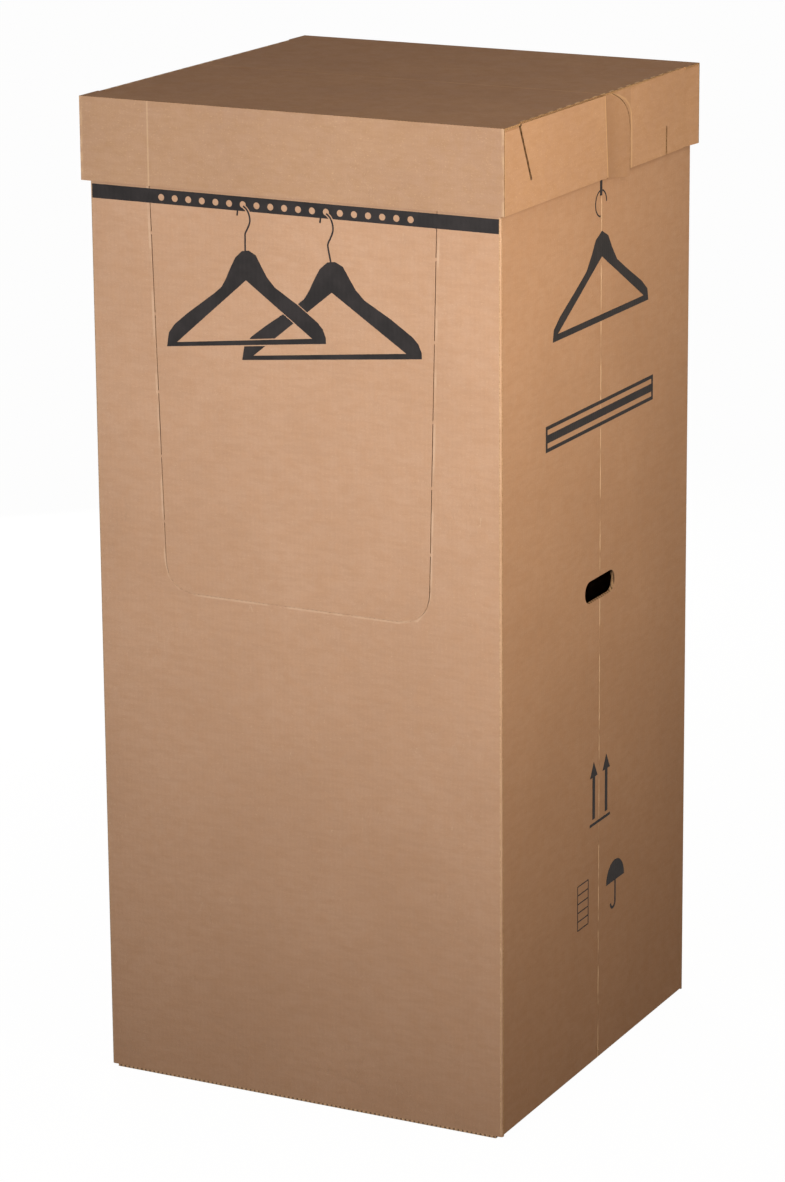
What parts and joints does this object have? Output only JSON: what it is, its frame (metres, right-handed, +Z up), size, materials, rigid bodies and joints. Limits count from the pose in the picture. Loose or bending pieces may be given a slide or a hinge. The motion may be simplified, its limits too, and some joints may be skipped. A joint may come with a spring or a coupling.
{
  "type": "wardrobe moving box",
  "caption": "Tall corrugated wardrobe carton with a hanging rail across its open top, side hand holes, a front access flap and a lift-off lid.",
  "frame": {"origin": "middle of the carton's footprint, on the floor", "axes": "+Z up, the printed front with the access flap faces -Y, the printed right side faces +X"},
  "size_m": [0.617, 0.617, 1.3553],
  "materials": {
    "kraft_board": "uncoated brown kraft liner over double-wall corrugated board, matt",
    "lid_board": "uncoated brown kraft liner over single-wall corrugated board, matt",
    "print_ink": "matt black printing ink soaked into the liner",
    "zinc_steel": "zinc-plated steel strip, dull"
  },
  "bodies": {
    "carton": {"carton_body": "kraft_board", "hanging_rail": "zinc_steel", "front_band_print": "print_ink", "front_hanger_near_print": "print_ink", "front_hanger_far_print": "print_ink", "front_hanger_arm_print": "print_ink", "side_rail_print": "print_ink", "side_hanger_print": "print_ink", "side_stripe_print": "print_ink", "side_arrow_front_print": "print_ink", "side_arrow_back_print": "print_ink", "side_arrow_bar_print": "print_ink", "side_form_print": "print_ink", "side_umbrella_print": "print_ink"},
    "lid": {"lid": "lid_board"}
  },
  "joints": [
    {"name": "lid_lift", "type": "slide", "parent": "carton", "child": "lid", "axis": [0, 0, 1], "range_m": [0, 0.2]}
  ]
}
